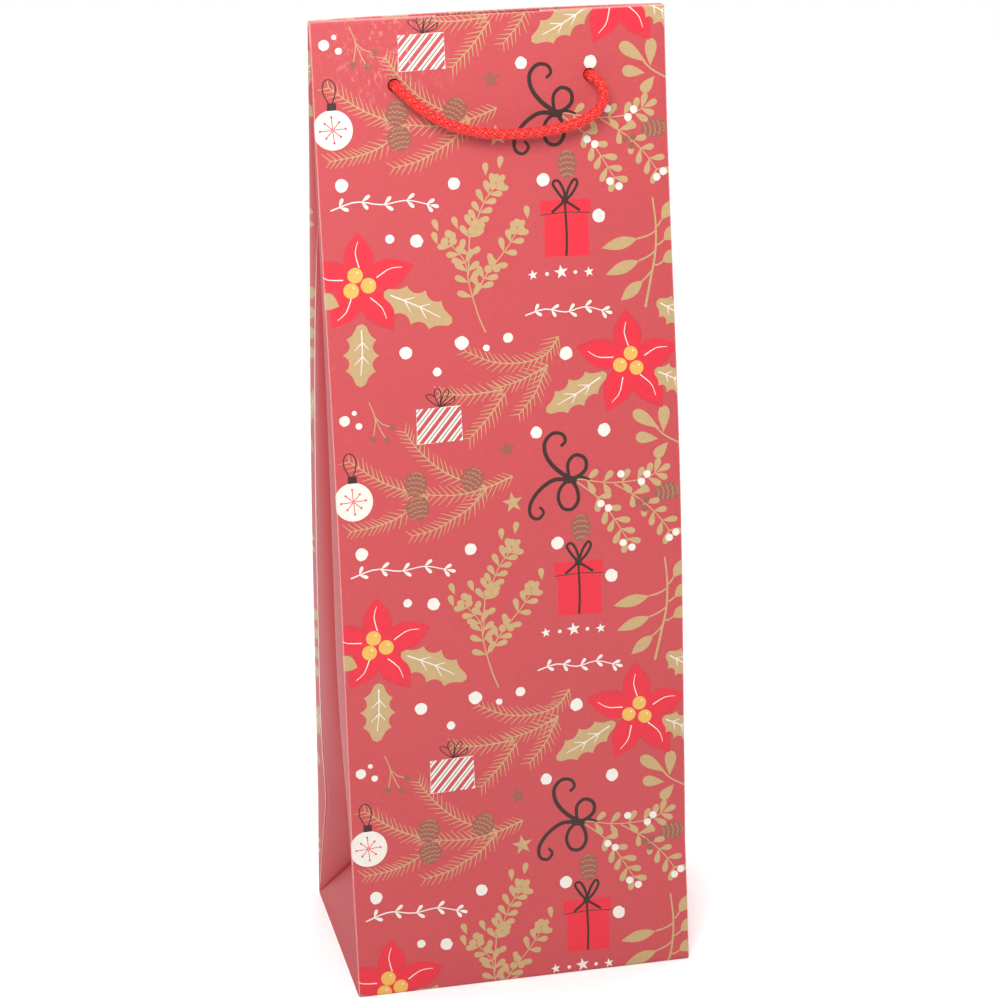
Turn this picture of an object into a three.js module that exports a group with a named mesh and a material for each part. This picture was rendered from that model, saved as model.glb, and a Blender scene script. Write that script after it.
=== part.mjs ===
// A paper wine gift bag with a block bottom, standing empty with its mouth all but shut.
// One printed sheet is folded into front, back, two gusseted sides and the bottom flaps.
// Two cards stiffen the top, a card lies on the bottom, and two knotted cords are the handles.
// Millimetres, +Z up. The origin is on the ground under the middle of the bag, the front is -Y.
import * as THREE from "three";

// Sizes of the bag when it is open and square.
const BAG_WIDTH = 127;
const BAG_DEPTH = 90;
const BAG_HEIGHT = 357;

// Sheets and cards.
const PAPER = 0.4;
const TOP_CARD = 0.6;
const BASE_CARD = 1.0;
const GAP = 0.3; // air between pieces that lie on each other

// The turned-in top and the card inside it.
const HEM_HEIGHT = 38;
const TOP_CARD_HEIGHT = 34;
const TOP_CARD_SIDE_MARGIN = 4;
const MOUTH = 4.6; // clear air between the two hems at the top edge

// The sides.
const SEAM_WIDTH = 12;
const CREASE_GAP = 1.2; // play at the slanting creases, where the folding loop is left open
const SIDE_EDGE_GAP = 1.0;
const SIDE_DROP = 67; // the side facets stop this far below the top, under the handle cords
const TAIL_ROOM = 26; // how far out from the middle the hanging cord ends need room
const KNOT_ROOM = 28; // the same for the knots
const KNOT_DROP = 70; // from the holes down to the higher knots
const BLUNT_TIP = 2; // width left where a facet would run out to a point

// The bottom.
const FOOT = 0.2; // the panels end this far above the ground
const BOTTOM_MARGIN = 1.5; // from the bag's outside to the flaps and the card inside it
const OUTER_FLAP_SHORTFALL = 14;
const INNER_FLAP_LENGTH = 52;
const DUST_FLAP_LENGTH = 40;

// The handles.
const CORD = 3.8;
const HOLE_CLEARANCE = 1.4; // a hole is this much wider than its cord
const HOLE_SPACING = 70;
const HOLE_DROP = 23; // from the top edge down to the holes
const KNOT = 11;
const KNOT_HEIGHT = 12;
const KNOT_END = 8; // loose cord below a knot
const CORD_SIDES = 8;
const HOLE_SIDES = 20;

// Depths inside a panel, from its outer face inwards.
const cardFace = PAPER + GAP;
const hemFace = cardFace + TOP_CARD + GAP;
const gussetFace = hemFace + PAPER + GAP;
const halfMouth = hemFace + PAPER + MOUTH / 2;

// How far each wall leans in, so that the tops meet.
const panelLean = Math.asin((BAG_DEPTH / 2 - halfMouth) / BAG_HEIGHT);
const gussetReach = BAG_DEPTH / 2 - CREASE_GAP;
const gussetTurn = Math.asin((MOUTH / 2 - GAP - PAPER - GAP) / gussetReach);
const sideLean = Math.asin((BAG_DEPTH / 2) * Math.cos(gussetTurn) / BAG_HEIGHT);

// The side facets end under the handle cords, or lower where their lean would bring them to
// the hanging cord ends or to the knots.
const leanTo = (distance) => (BAG_WIDTH / 2 - distance) / Math.tan(sideLean);
const passesKnots = leanTo(KNOT_ROOM) > BAG_HEIGHT - HOLE_DROP - KNOT_DROP;
const sideTop = Math.min(BAG_HEIGHT - SIDE_DROP, leanTo(passesKnots ? TAIL_ROOM : KNOT_ROOM));
const hole = CORD + HOLE_CLEARANCE;

const coated = { roughness: 0.45, metalness: 0 };
const printedPaper = new THREE.MeshStandardMaterial({ color: 0xe05a63, ...coated });
const redPaper = new THREE.MeshStandardMaterial({ color: 0xc04e54, ...coated });
const whiteCard = new THREE.MeshStandardMaterial({ color: 0xe9e4da, roughness: 0.8, metalness: 0 });
const greyCard = new THREE.MeshStandardMaterial({ color: 0xb9b2a6, roughness: 0.9, metalness: 0 });
const redCord = new THREE.MeshStandardMaterial({ color: 0xf02f2c, roughness: 0.6, metalness: 0 });

function mesh(name, geometry, material) {
  const piece = new THREE.Mesh(geometry, material);
  piece.name = name;
  return piece;
}

function outline(points) {
  return new THREE.Shape(points.map(([x, y]) => new THREE.Vector2(x, y)));
}

function extrude(shape, thickness) {
  return new THREE.ExtrudeGeometry(shape, {
    depth: thickness,
    bevelEnabled: false,
    curveSegments: HOLE_SIDES / 2,
  });
}

// A sheet that stands across X and up Z, from depth y inwards.
function uprightSheet(shape, thickness, y) {
  return extrude(shape, thickness).rotateX(Math.PI / 2).translate(0, y + thickness, 0);
}

// A sheet that stands across Y and up Z, with its outer face at x = 0.
function sideSheet(shape, thickness) {
  const x = new THREE.Vector3(1, 0, 0);
  const y = new THREE.Vector3(0, 1, 0);
  const z = new THREE.Vector3(0, 0, 1);
  return extrude(shape, thickness).applyMatrix4(new THREE.Matrix4().makeBasis(y, z, x));
}

// A rectangle centred on x = 0 with the two handle holes, measured up from the bag's bottom.
function piercedStrip(width, bottom, top) {
  const half = width / 2;
  const shape = outline([[-half, bottom], [half, bottom], [half, top], [-half, top]]);
  for (const side of [-1, 1]) {
    const ring = new THREE.Path();
    ring.absarc((side * HOLE_SPACING) / 2, BAG_HEIGHT - HOLE_DROP, hole / 2, 0, 2 * Math.PI);
    shape.holes.push(ring);
  }
  return shape;
}

// A gusset facet is the part of a side that folds behind a panel: a tall triangle that hangs
// on the panel's side edge and widens to half the bag's depth at the top. A notch beside the
// hole leaves room for the handle cord, round which the real sheet bends.
function gussetOutline() {
  const widthAt = (height) => (BAG_DEPTH / 2) * (height / BAG_HEIGHT) - CREASE_GAP;
  const tip = ((BLUNT_TIP + CREASE_GAP) / (BAG_DEPTH / 2)) * BAG_HEIGHT;
  const notchTop = BAG_HEIGHT - HOLE_DROP + hole + CORD / 2;
  const notchBottom = sideTop + BLUNT_TIP;
  const notchSide = (BAG_WIDTH - HOLE_SPACING) / 2 - CORD;
  return outline([
    [0, tip],
    [BLUNT_TIP, tip],
    [widthAt(notchBottom), notchBottom],
    [notchSide, notchBottom],
    [notchSide, notchTop],
    [widthAt(notchTop), notchTop],
    [gussetReach, BAG_HEIGHT],
    [0, BAG_HEIGHT],
  ]);
}

// The glue seam is a strip of the printed back sheet, stuck to the outside of one gusset.
function seamOutline() {
  const tip = ((BLUNT_TIP + CREASE_GAP) / (BAG_DEPTH / 2)) * BAG_HEIGHT;
  const fullWidthFrom = ((SEAM_WIDTH + CREASE_GAP) / (BAG_DEPTH / 2)) * BAG_HEIGHT;
  return outline([
    [0, tip],
    [BLUNT_TIP, tip],
    [SEAM_WIDTH, fullWidthFrom],
    [SEAM_WIDTH, BAG_HEIGHT],
    [0, BAG_HEIGHT],
  ]);
}

// The outer face of a side: a tall triangle on the bag's bottom edge, cut off below its tip.
function sideOutline() {
  const foot = BAG_DEPTH / 2 - SIDE_EDGE_GAP;
  const top = (BAG_DEPTH / 2) * (1 - sideTop / BAG_HEIGHT) - SIDE_EDGE_GAP;
  return outline([[-foot, PAPER], [foot, PAPER], [top, sideTop], [-top, sideTop]]);
}

// A cord along a smooth curve through the given points.
function cordTube(points, steps) {
  const path = new THREE.CatmullRomCurve3(points.map((p) => new THREE.Vector3(...p)));
  const section = new THREE.Shape();
  section.absarc(0, 0, CORD / 2, 0, 2 * Math.PI);
  return new THREE.ExtrudeGeometry(section, {
    steps,
    extrudePath: path,
    bevelEnabled: false,
    curveSegments: CORD_SIDES / 2,
  });
}

// Points of a handle, seen from outside the panel: across, out of the panel (-) or into the
// bag (+), and up, all from the middle of the line between the two holes.
const loopPoints = [
  [-35.0, -2.3, 0.0], [-31.6, -3.4, -4.3], [-27.2, -4.6, -8.6], [-21.8, -5.5, -12.8],
  [-15.6, -6.1, -16.2], [-8.4, -6.4, -18.6], [-0.5, -6.6, -19.9], [7.5, -6.7, -20.2],
  [15.4, -6.9, -19.8], [23.0, -7.2, -18.7], [29.8, -7.6, -16.7], [35.0, -7.8, -13.2],
  [37.6, -7.6, -9.0], [38.0, -6.4, -5.2], [36.8, -4.2, -2.0], [35.0, -2.3, 0.0],
];
const leftTailPoints = [
  [-35.0, 0.2, 0.0], [-35.0, 1.2, 0.0], [-34.9, 2.4, -0.2], [-34.4, 4.2, -2.0], [-33.6, 4.8, -5.0],
  [-31.2, 5.3, -11.0], [-27.2, 6.4, -21.0], [-23.8, 7.6, -31.0], [-22.2, 8.3, -41.0],
  [-21.6, 8.7, -52.0], [-21.2, 9.0, -62.0], [-21.0, 9.4, -70.0],
];
const rightTailPoints = [
  [35.0, 0.2, 0.0], [35.0, 1.2, 0.0], [34.9, 2.4, -0.2], [34.4, 4.2, -2.0], [33.6, 4.8, -5.0],
  [31.0, 5.3, -11.0], [27.0, 6.4, -21.0], [23.8, 7.6, -31.0], [22.4, 8.3, -41.0],
  [22.0, 8.8, -54.0], [21.8, 9.4, -68.0], [21.6, 10.2, -84.0],
];

// A knot is pulled tight round its own cord, with a short loose end below it.
function knotGeometry() {
  const profile = [
    [0, KNOT_HEIGHT / 2], [KNOT * 0.3, KNOT_HEIGHT * 0.45], [KNOT * 0.47, KNOT_HEIGHT * 0.22],
    [KNOT / 2, 0], [KNOT * 0.45, -KNOT_HEIGHT * 0.25], [CORD / 2, -KNOT_HEIGHT / 2],
    [CORD / 2, -KNOT_HEIGHT / 2 - KNOT_END], [0, -KNOT_HEIGHT / 2 - KNOT_END],
  ];
  const points = profile.reverse().map(([r, z]) => new THREE.Vector2(r, z));
  return new THREE.LatheGeometry(points, 12).rotateX(Math.PI / 2);
}

// A tail runs from its hole down the inside of the bag to its knot.
function addTail(group, face, side, points) {
  group.add(mesh(`${face}_handle_${side}_tail`, cordTube(points, 34), redCord));
  const end = points[points.length - 1];
  const knot = mesh(`${face}_handle_${side}_knot`, knotGeometry(), redCord);
  knot.position.set(end[0], end[1], end[2] - GAP - KNOT_HEIGHT / 2);
  knot.rotation.x = panelLean; // it hangs plumb
  group.add(knot);
}

// One face of the bag with all that is fixed to it or hangs on it, as seen from its outside.
function panelAssembly(face, leftHand, rightHand) {
  const panel = new THREE.Group();
  panel.position.set(0, -BAG_DEPTH / 2, FOOT);
  panel.rotation.x = -panelLean;

  const sheet = piercedStrip(BAG_WIDTH, 0, BAG_HEIGHT);
  panel.add(mesh(`${face}_panel`, uprightSheet(sheet, PAPER, 0), printedPaper));

  const cardWidth = BAG_WIDTH - 2 * TOP_CARD_SIDE_MARGIN;
  const cardTop = BAG_HEIGHT - PAPER - GAP;
  const card = piercedStrip(cardWidth, cardTop - TOP_CARD_HEIGHT, cardTop);
  panel.add(mesh(`${face}_top_card`, uprightSheet(card, TOP_CARD, cardFace), greyCard));

  const hem = piercedStrip(BAG_WIDTH, BAG_HEIGHT - HEM_HEIGHT, BAG_HEIGHT);
  panel.add(mesh(`${face}_hem`, uprightSheet(hem, PAPER, hemFace), printedPaper));

  // Local +X is to the right from outside. Each facet turns about the panel's side edge.
  const hands = [[-1, leftHand], [1, rightHand]];
  for (const [side, hand] of hands) {
    const hinge = new THREE.Group();
    hinge.position.set(side * (BAG_WIDTH / 2 - GAP), gussetFace, 0);
    hinge.rotation.z = -side * gussetTurn;
    const facet = uprightSheet(gussetOutline(), PAPER, 0);
    const seam = uprightSheet(seamOutline(), PAPER, PAPER + GAP);
    if (side > 0) {
      mirrorAcross(facet);
      mirrorAcross(seam);
    }
    hinge.add(mesh(`${face}_${hand}_gusset`, facet, redPaper));
    if (face === "back" && hand === "left") {
      hinge.add(mesh("glue_seam", seam, printedPaper));
    }
    panel.add(hinge);
  }

  const handle = new THREE.Group();
  handle.position.z = BAG_HEIGHT - HOLE_DROP;
  handle.add(mesh(`${face}_handle_loop`, cordTube(loopPoints, 24), redCord));
  addTail(handle, face, leftHand, leftTailPoints);
  addTail(handle, face, rightHand, rightTailPoints);
  panel.add(handle);
  return panel;
}

// Turns a shape into its mirror image across X = 0, with its faces still pointing out.
function mirrorAcross(geometry) {
  geometry.scale(-1, 1, 1);
  const position = geometry.getAttribute("position");
  const corner = new THREE.Vector3();
  for (let i = 0; i < position.count; i += 3) {
    corner.fromBufferAttribute(position, i);
    position.setXYZ(i, position.getX(i + 1), position.getY(i + 1), position.getZ(i + 1));
    position.setXYZ(i + 1, corner.x, corner.y, corner.z);
  }
}

// The outer face of a side, hinged on the bottom edge and leaning in.
function side(hand) {
  const sign = hand === "left" ? -1 : 1;
  const lean = new THREE.Group();
  lean.position.set((sign * BAG_WIDTH) / 2, 0, FOOT);
  lean.rotation.y = -sign * sideLean;
  const sheet = sideSheet(sideOutline(), PAPER);
  if (sign > 0) sheet.translate(-PAPER, 0, 0);
  lean.add(mesh(`${hand}_side`, sheet, redPaper));
  return lean;
}

// The block bottom: the front's flap outside, then the back's, the sides' two and the card.
function addBottom(bag) {
  const halfWidth = BAG_WIDTH / 2 - BOTTOM_MARGIN;
  const halfDepth = BAG_DEPTH / 2 - BOTTOM_MARGIN;
  const rectangle = (x0, x1, y0, y1) => outline([[x0, y0], [x1, y0], [x1, y1], [x0, y1]]);
  const layer = PAPER + GAP;

  const outer = rectangle(-halfWidth, halfWidth, -halfDepth, halfDepth - OUTER_FLAP_SHORTFALL);
  bag.add(mesh("bottom_outer_flap", extrude(outer, PAPER), printedPaper));

  const inner = rectangle(-halfWidth, halfWidth, halfDepth - INNER_FLAP_LENGTH, halfDepth);
  bag.add(mesh("bottom_inner_flap", extrude(inner, PAPER).translate(0, 0, layer), printedPaper));

  for (const [hand, sign] of [["left", -1], ["right", 1]]) {
    const fold = sign * halfWidth;
    const end = sign * (halfWidth - DUST_FLAP_LENGTH);
    const narrow = halfDepth - DUST_FLAP_LENGTH / 2;
    const points = [[fold, -halfDepth], [fold, halfDepth], [end, narrow], [end, -narrow]];
    const flap = extrude(outline(sign > 0 ? points : points.reverse()), PAPER);
    bag.add(mesh(`${hand}_dust_flap`, flap.translate(0, 0, 2 * layer), redPaper));
  }

  const card = rectangle(-halfWidth, halfWidth, -halfDepth, halfDepth);
  bag.add(mesh("base_card", extrude(card, BASE_CARD).translate(0, 0, 3 * layer), whiteCard));
}

const bag = new THREE.Group();
bag.add(panelAssembly("front", "left", "right"));
const back = new THREE.Group();
back.rotation.z = Math.PI;
back.add(panelAssembly("back", "right", "left"));
bag.add(back, side("left"), side("right"));
addBottom(bag);

export default bag;
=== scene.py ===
# %% [markdown]
# # A printed paper wine gift bag
# The bag is one sheet of printed paper. It is folded into a front, a back, two sides that fold
# inwards (gussets) and a block bottom. Two strips of card stiffen the top, and each face has a
# handle of braided cord that ends in knots inside.
# The frame of solids gives every place and size. This lesson dresses it with surfaces worked
# out from formulas, so that the paper bows, folds and creases as real paper does.

import math

import bmesh
import bpy
import numpy as np
from mathutils import Matrix, Vector
from mathutils.geometry import delaunay_2d_cdt


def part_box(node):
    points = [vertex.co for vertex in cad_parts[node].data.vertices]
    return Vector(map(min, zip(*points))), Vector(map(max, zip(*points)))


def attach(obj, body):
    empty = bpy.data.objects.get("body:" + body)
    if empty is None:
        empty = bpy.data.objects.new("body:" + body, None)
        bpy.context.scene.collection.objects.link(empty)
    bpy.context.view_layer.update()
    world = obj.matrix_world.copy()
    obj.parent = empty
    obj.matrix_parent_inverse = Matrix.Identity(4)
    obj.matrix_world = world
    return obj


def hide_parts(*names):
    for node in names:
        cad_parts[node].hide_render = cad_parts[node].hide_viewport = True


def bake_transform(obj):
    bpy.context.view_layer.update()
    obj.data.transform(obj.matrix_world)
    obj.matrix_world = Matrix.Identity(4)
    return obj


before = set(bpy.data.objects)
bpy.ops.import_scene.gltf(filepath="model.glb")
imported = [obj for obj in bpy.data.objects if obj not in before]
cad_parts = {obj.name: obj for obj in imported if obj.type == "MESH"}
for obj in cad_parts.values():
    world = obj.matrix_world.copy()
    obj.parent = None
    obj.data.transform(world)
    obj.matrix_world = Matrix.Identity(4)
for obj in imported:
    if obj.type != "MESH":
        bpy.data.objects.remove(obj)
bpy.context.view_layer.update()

# %% [markdown]
# ## Sizes
# The sheet's sizes are read off the frame. Work is in millimetres, because that is how a bag
# maker thinks, and MM turns them to metres when a mesh is made.

# %% Sizes read off the frame
MM = 0.001
panel_low, panel_high = (np.array(c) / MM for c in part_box("front_panel"))
WIDTH = panel_high[0] - panel_low[0]
DEPTH = -2 * panel_low[1]
FOOT = 0.2     # the walls end this far above the ground
PAPER = 0.3
rise = panel_high[2] - FOOT
LEAN = math.atan2(DEPTH / 2 + panel_high[1] - 0.4, rise)
HEIGHT = rise / math.cos(LEAN)
HALF = WIDTH / 2
print(f"sheet {WIDTH:.0f} x {HEIGHT:.0f} mm, depth {DEPTH:.0f} mm, lean {math.degrees(LEAN):.2f} deg")

# %% Sizes of the folded top, the holes and the cord
HEM = 38.0
CARD_HEIGHT = 34.0
CARD_MARGIN = 4.0
CARD = 0.55
FOLD = 0.65       # radius of the fold over the top: two papers and the card
EDGE_FOLD = 0.6   # radius of the upright folds at the sides
HOLE = 4.8
HOLE_ACROSS = 35.0
HOLE_UP = HEIGHT - 23.0
SCORE = 45.0      # the creased line round the bag, half the depth above the bottom

# %% [markdown]
# ## Camera
# A long lens from the front and a little from the left and above, as a catalogue shows such a
# bag.

# %% Camera
camera_data = bpy.data.cameras.new("camera")
camera_data.lens = 106.6
camera_data.sensor_width = 36.0
camera_data.clip_end = 30.0
camera = bpy.data.objects.new("camera", camera_data)
bpy.context.collection.objects.link(camera)
camera_place = np.array([-223.46, -1008.68, 531.90])
forward = np.array([0.20636, 0.92218, -0.32710])
forward /= np.linalg.norm(forward)
level = np.cross(forward, [0.0, 0.0, 1.0])
level /= np.linalg.norm(level)
upright = np.cross(level, forward)
roll = math.radians(-0.70)
across = level * math.cos(roll) + upright * math.sin(roll)
up = np.cross(across, forward)
turn = Matrix(np.column_stack([across, up, -forward]).tolist()).to_4x4()
camera.matrix_world = Matrix.Translation(Vector(camera_place * MM)) @ turn
bpy.context.scene.camera = camera
print("camera at", np.round(camera_place), "mm")

# %% [markdown]
# ## The shape of a wall
# Each face leans in from the bottom edge, bows outwards a little between the score line and
# the stiffened top, and is pinched at its top corners, where the gussets pull it together.
# One function gives all of this, so the sheet, the card, the hem and the sides agree.

# %% The wall's formula
BOW = 4.2           # how far the middle of a wall stands out
BOW_FROM, BOW_TO = SCORE, 330.0
SCORE_DIP = 1.0     # how far the score line is drawn in
PINCH = 2.2         # how far the top corners are drawn in
PINCH_FROM = 150.0


def smooth(x):
    """The cubic that rises from 0 to 1 with level ends, 3x squared less 2x cubed."""
    x = np.clip(x, 0.0, 1.0)
    return x * x * (3 - 2 * x)


def wall_point(x, v, n, face=-1):
    """Points in mm of a face: x across from the middle, v up along the wall, n into the bag.
    The wall is a leaning plane, moved out by a squared sine of the height (the bow) and in by
    a dip at the score line and by a power of x that grows towards the top (the pinch).
    face is -1 for the front, and 1 for the back, which is the front turned half a turn."""
    x, v, n = np.broadcast_arrays(*(np.asarray(a, float) for a in (x, v, n)))
    bow = BOW * np.sin(np.pi * np.clip((v - BOW_FROM) / (BOW_TO - BOW_FROM), 0, 1)) ** 2
    dip = SCORE_DIP * np.exp(-(((v - SCORE) / 16) ** 2))
    pinch = PINCH * (np.abs(x) / HALF) ** 2.5 * smooth((v - PINCH_FROM) / (HEIGHT - PINCH_FROM))
    ripple = 0.25 * np.sin(x / 23 + v / 61) * np.sin(v / 37 + face) * smooth((v - SCORE) / 60)
    ripple *= smooth((HEIGHT - 30 - v) / 60) * (1 - (x / HALF) ** 2)
    depth = n - bow + dip + pinch + ripple
    y = -DEPTH / 2 + v * math.sin(LEAN) + depth * math.cos(LEAN)
    z = FOOT + v * math.cos(LEAN) - depth * math.sin(LEAN)
    return np.stack([-face * x, -face * y, z], axis=-1)


BOTTOM_FOLD = 0.5   # radius of the fold round the bottom edge


def sheet_point(u, s, depth, face):
    """Points in mm of the printed sheet: u across from its left edge, s along it from the
    bottom edge, depth below its printed skin. Four folds are arcs of a circle, a quarter turn
    under at the bottom and back at each side, and a half turn over the stiffened top."""
    u, s, depth = np.broadcast_arrays(*(np.asarray(a, float) for a in (u, s, depth)))
    top = HEIGHT - FOLD
    over = np.clip((s - top) / FOLD, 0, np.pi)
    down = np.clip(s - top - np.pi * FOLD, 0, None)
    under = np.clip((BOTTOM_FOLD - s) / BOTTOM_FOLD, 0, np.pi / 2)
    inwards = np.clip(BOTTOM_FOLD - s - BOTTOM_FOLD * np.pi / 2, 0, None)
    v = np.clip(s, BOTTOM_FOLD, top) + (FOLD - depth) * np.sin(over) - down
    v = v - (BOTTOM_FOLD - depth) * np.sin(under)
    n = FOLD - (FOLD - depth) * np.cos(over)
    n = n + (BOTTOM_FOLD - depth) * (1 - np.cos(under)) + inwards
    across = u - HALF
    flat = HALF - EDGE_FOLD
    corner = np.clip((np.abs(across) - flat) / EDGE_FOLD, 0, np.pi / 2)
    open_edge = 1 - smooth(over / 1.2)
    x = np.sign(across) * (np.minimum(np.abs(across), flat) + (EDGE_FOLD - depth) * np.sin(corner))
    n = n + (EDGE_FOLD - depth) * (1 - np.cos(corner)) * open_edge
    return wall_point(x, v, n, face)


for height in (0.0, SCORE, 180.0, HEIGHT):
    print(f"front at {height:.0f} mm up:", np.round(sheet_point(HALF, height, 0, -1), 1))

# %% [markdown]
# ## The print
# The sheet is printed in flat inks: tan twigs, off-white dots, red flowers, brown cones, dark
# ribbon. A picture file would blur when one looks closely, so each motif is an outline, and
# the sheet is later cut along these outlines into faces that carry their own ink. Shapes are
# drawn once, in one repeat of the pattern, and every shape is a few lines of formula.

# %% Inks and simple shapes
REPEAT = 131.3
INKS = ["ground", "tan", "white", "brown", "dark", "deep_red", "red", "yellow", "reverse"]
pattern = []      # (ink, outline) in printing order, in mm across and up
random = np.random.default_rng(7)


def ink(colour, outline):
    """Prints a closed outline, turned so that it runs against the clock."""
    p = np.asarray(outline, float)
    area = np.sum(p[:, 0] * np.roll(p[:, 1], -1) - p[:, 1] * np.roll(p[:, 0], -1))
    pattern.append((INKS.index(colour), p if area > 0 else p[::-1]))


def through(points, count):
    """A smooth line through the points: a cubic on each span (Catmull-Rom), as count points."""
    p = np.asarray(points, float)
    p = np.vstack([2 * p[0] - p[1], p, 2 * p[-1] - p[-2]])
    t = np.linspace(0, len(p) - 3, count)
    i = np.minimum(t.astype(int), len(p) - 4)
    f = (t - i)[:, None]
    a, b, c, d = p[i], p[i + 1], p[i + 2], p[i + 3]
    return 0.5 * (2 * b + (c - a) * f + (2 * a - 5 * b + 4 * c - d) * f**2
                  + (3 * b - a - 3 * c + d) * f**3)


def sides_of(line):
    """Unit vectors to the left of a line at each of its points."""
    along = np.gradient(line, axis=0)
    along /= np.linalg.norm(along, axis=1)[:, None] + 1e-9
    return np.column_stack([-along[:, 1], along[:, 0]])


def stroke(colour, points, width, end_width=None, spacing=2.0):
    """A line of ink: a smooth line, as short blocks so that it may cross itself."""
    length = np.linalg.norm(np.diff(np.asarray(points, float), axis=0), axis=1).sum()
    line = through(points, max(3, int(length / spacing) + 1))
    half = np.linspace(width, width if end_width is None else end_width, len(line))[:, None] / 2
    left, right = line + sides_of(line) * half, line - sides_of(line) * half
    for block in zip(left[:-1], right[:-1], right[1:], left[1:]):
        ink(colour, block)


def disc(colour, centre, radius, sides=18, uneven=0.0):
    """A dot: a circle whose radius is shaken a little where it was drawn by hand."""
    a = np.linspace(0, 2 * np.pi, sides, endpoint=False)
    r = radius * (1 + uneven * random.uniform(-1, 1, sides))
    ink(colour, np.column_stack([centre[0] + r * np.cos(a), centre[1] + r * np.sin(a)]))


def leaf(colour, base, tip, width, belly=1.0, points=8, drop=False):
    """A leaf from base to tip: half its width is a sine of the way along, shifted by belly. A
    drop has a round tip instead: half its width is a power of the way times a square root."""
    base, tip = np.asarray(base, float), np.asarray(tip, float)
    t = np.linspace(0, 1, points)[:, None]
    if drop:
        t = np.sin(t * np.pi / 2)
    half = width / 2 * (2.8 * t**1.2 * np.sqrt(1 - t) if drop else np.sin(np.pi * t**belly))
    side = np.array([base[1] - tip[1], tip[0] - base[0]]) / np.linalg.norm(tip - base)
    middle = base + (tip - base) * t
    ink(colour, np.vstack([middle + side * half, (middle - side * half)[-2:0:-1]]))


def heading(degrees):
    """The unit vector at an angle from the right, against the clock."""
    return np.array([math.cos(math.radians(degrees)), math.sin(math.radians(degrees))])


# %% [markdown]
# Twigs are a stem with something that repeats on both sides: needles on pine, drop-shaped
# leaves and berries on the others. One loop along the stem places them, shorter to the tip.

# %% Twigs, sprays, cones and holly
NEEDLE = 5.2


def pine(points, start=0.0, ink_name="tan"):
    """A pine twig: a stem with thin tapering needles that lean forward on both sides."""
    length = np.linalg.norm(np.diff(np.asarray(points, float), axis=0), axis=1).sum()
    line = through(points, int(length / 2.2) + 2)
    left = sides_of(line)
    ahead = np.column_stack([left[:, 1], -left[:, 0]])
    stroke(ink_name, points, 0.55, 0.3, 3.0)
    for i in range(int(start * len(line)), len(line)):
        for side in (-1, 1):
            size = NEEDLE * random.uniform(0.8, 1.15) * (1 - 0.35 * (i / len(line)) ** 3)
            out = left[i] * side * random.uniform(0.6, 0.76) + ahead[i] * 0.68
            foot, tip = line[i] - out * 0.1, line[i] + out * size
            wide = ahead[i] * 0.3
            ink(ink_name, [foot - wide, tip - wide * 0.35, tip + wide * 0.35, foot + wide])


def spray(points, count, size, width, start=0.12, lean=52, end_leaf=True, ink_name="tan"):
    """A stem with drop-shaped leaves in turn on each side, and one at its tip."""
    stroke(ink_name, points, 0.5, 0.35, 2.4)
    line = through(points, 60)
    left = sides_of(line)
    for k in range(count):
        i = int((start + (0.97 - start) * k / max(count - 1, 1)) * 59)
        along = math.degrees(math.atan2(-left[i, 0], left[i, 1]))
        for side in (-1, 1):
            out = heading(along + side * (lean + random.uniform(-6, 6)))
            leaf(ink_name, line[i], line[i] + out * size * random.uniform(0.92, 1.12), width, drop=True)
    if end_leaf:
        tip = line[-1] - line[-4]
        leaf(ink_name, line[-1], line[-1] + tip / np.linalg.norm(tip) * size, width, drop=True)


def berries(colour, centre, radius, count=3):
    """Berries in a tight bunch round a point."""
    for k in range(count):
        disc(colour, np.asarray(centre) + heading(90 + 360 * k / count) * radius * 1.18, radius, 12)


def cone(centre, width, height, degrees):
    """A pine cone: an egg outline with a row of scales along each of its slanting lines."""
    a = np.linspace(0, 2 * np.pi, 36, endpoint=False)
    edge = 1 + 0.05 * np.cos(9 * a)
    x, y = width / 2 * np.cos(a) * edge, height / 2 * np.sin(a) * edge * (1 - 0.08 * np.sin(a))
    across, along = heading(degrees - 90), heading(degrees)
    place = lambda p: np.asarray(centre) + p[..., :1] * across + p[..., 1:] * along
    ink("brown", place(np.column_stack([x, y])))
    for row in np.linspace(-0.36, 0.4, 5) * height:
        reach = width / 2 * math.sqrt(max(0.0, 1 - (2 * row / height) ** 2)) * 0.8
        t = np.linspace(-1, 1, 9)
        zigzag = np.column_stack([t * reach, row + 0.32 * (-1.0) ** np.arange(9) - t**2 * 0.7])
        side = np.array([0.0, 0.11])
        line = place(np.vstack([zigzag + side, (zigzag - side)[::-1]]))
        ink("tan", line)


def holly(base, tip, width, spikes=4):
    """A holly leaf: a leaf whose edge is pulled in between sharp spikes, with white veins."""
    base, tip = np.asarray(base, float), np.asarray(tip, float)
    t = np.linspace(0, 1, 8 * spikes + 1)[:, None]
    cusp = 1 - np.abs(np.sin(spikes * np.pi * t)) ** 0.75
    half = width / 2 * np.sin(np.pi * t) ** 0.55 * (0.66 + 0.34 * cusp)
    side = np.array([base[1] - tip[1], tip[0] - base[0]]) / np.linalg.norm(tip - base)
    middle = base + (tip - base) * t
    ink("tan", np.vstack([middle + side * half, (middle - side * half)[-2:0:-1]]))
    along = tip - base
    bend = side * width * 0.03
    stroke("white", [base + along * 0.1, base + along * 0.5 + bend, base + along * 0.82], 0.5, 0.25)
    for share, hand in ((0.28, 1), (0.3, -1), (0.5, 1), (0.53, -1)):
        foot = base + along * share + bend * 0.6
        stroke("white", [foot, foot + along * 0.13 + side * hand * width * 0.2], 0.4, 0.2)


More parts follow.
